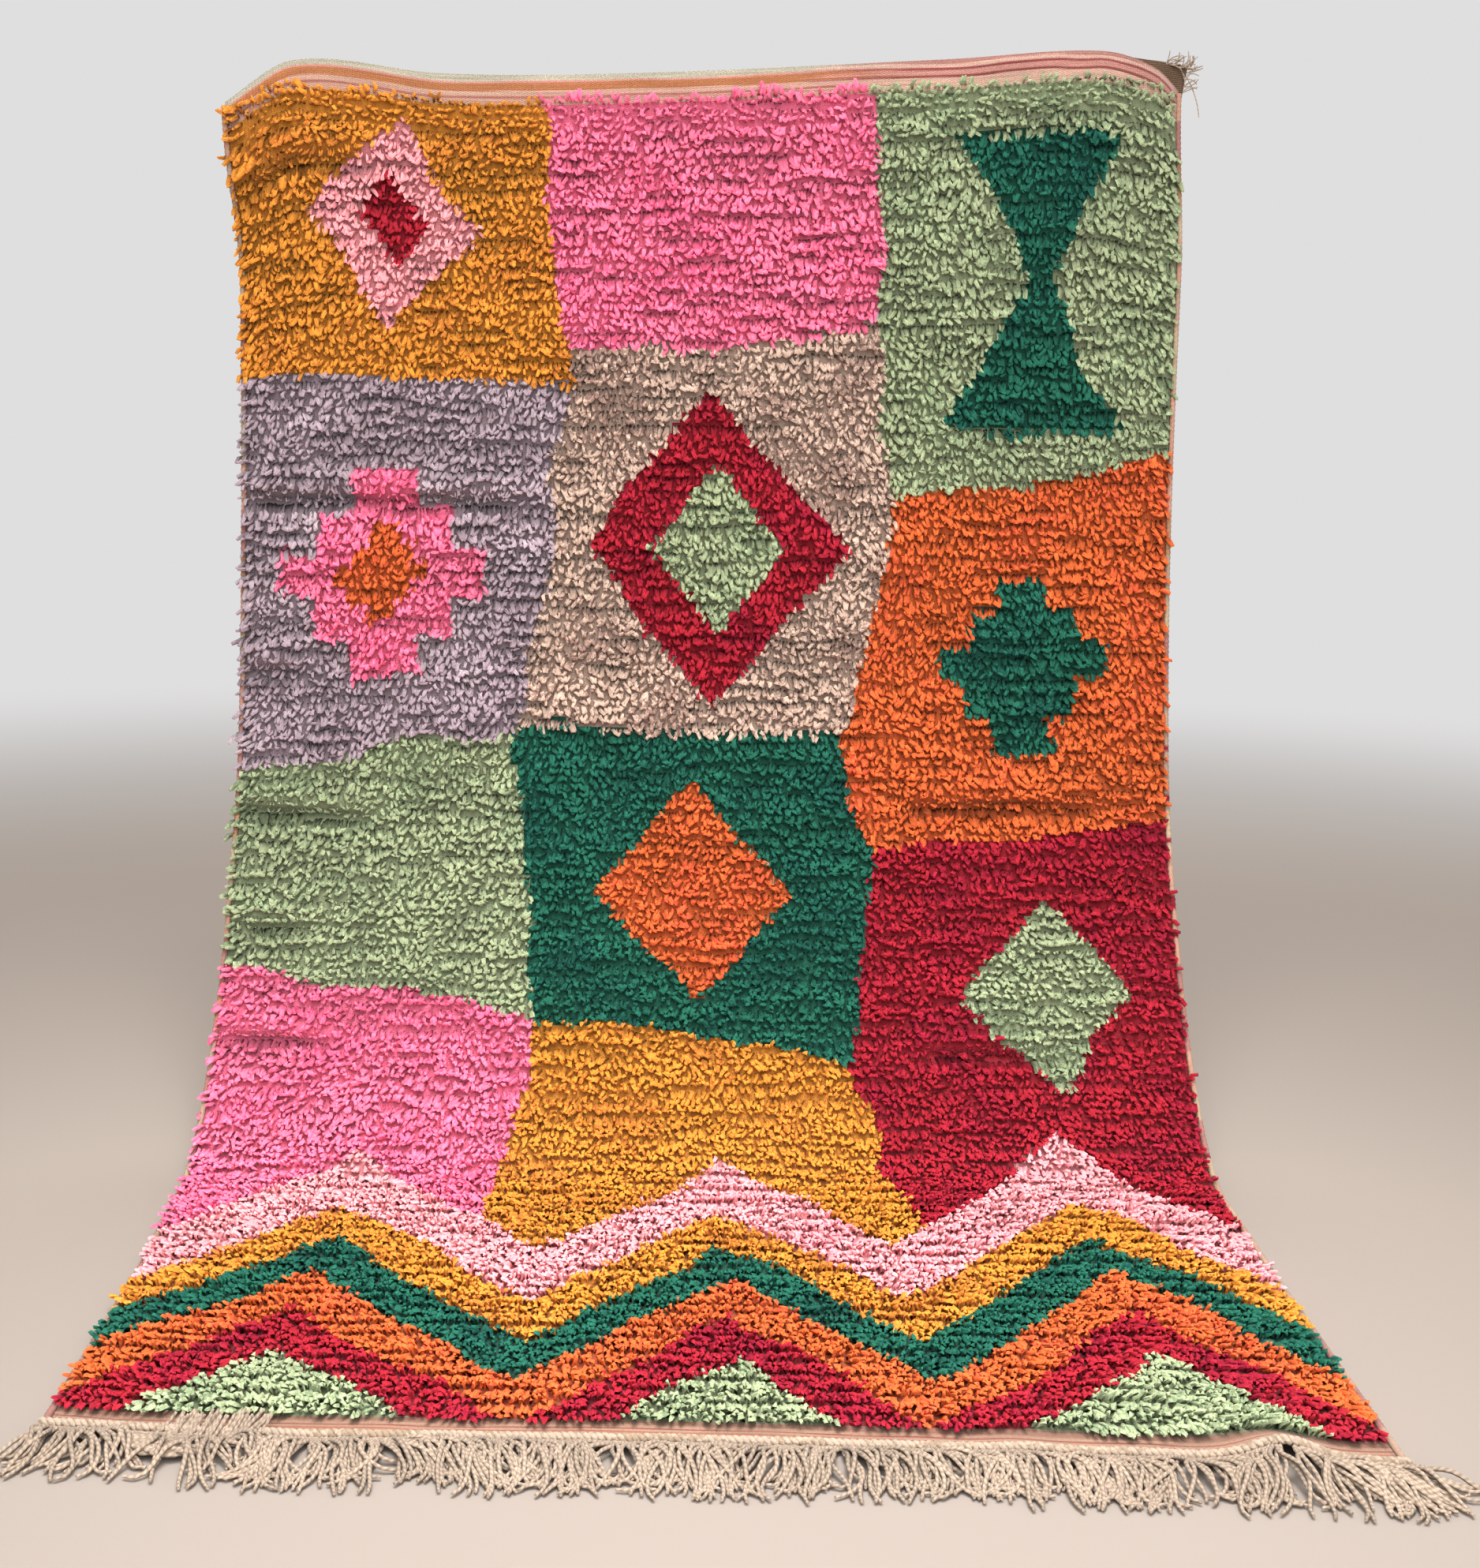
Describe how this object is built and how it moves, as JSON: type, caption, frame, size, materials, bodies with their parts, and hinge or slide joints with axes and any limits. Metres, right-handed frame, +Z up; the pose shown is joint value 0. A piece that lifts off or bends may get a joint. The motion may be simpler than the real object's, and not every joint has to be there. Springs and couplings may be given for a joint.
{
  "type": "boujaad pile rug held up along its top edge with its front end on the floor",
  "caption": "Hand-knotted wool pile rug held up by its top edge, sweeping forward onto the floor, with flat-woven headings, bound side edges, a twined edge cord and a fringe of warp ends.",
  "frame": {"origin": "on the floor, under the middle of the whole rug's box", "axes": "+Z up, +X to the right as seen from the front, the pile faces -Y, the held edge is at +Y and the fringe at -Y"},
  "size_m": [1.6446, 1.556, 1.6832],
  "materials": {
    "pile_wool": "matt hand-spun wool pile in nine dyed colours, in uneven patches",
    "selvedge_wool": "bound wool edge with locks of pile over it",
    "warp_yarn": "undyed ivory warp yarn, plied and unbleached"
  },
  "bodies": {
    "root": {"rug_cloth": "pile_wool", "left_selvedge": "selvedge_wool", "right_selvedge": "selvedge_wool", "fringe": "warp_yarn"}
  },
  "joints": []
}
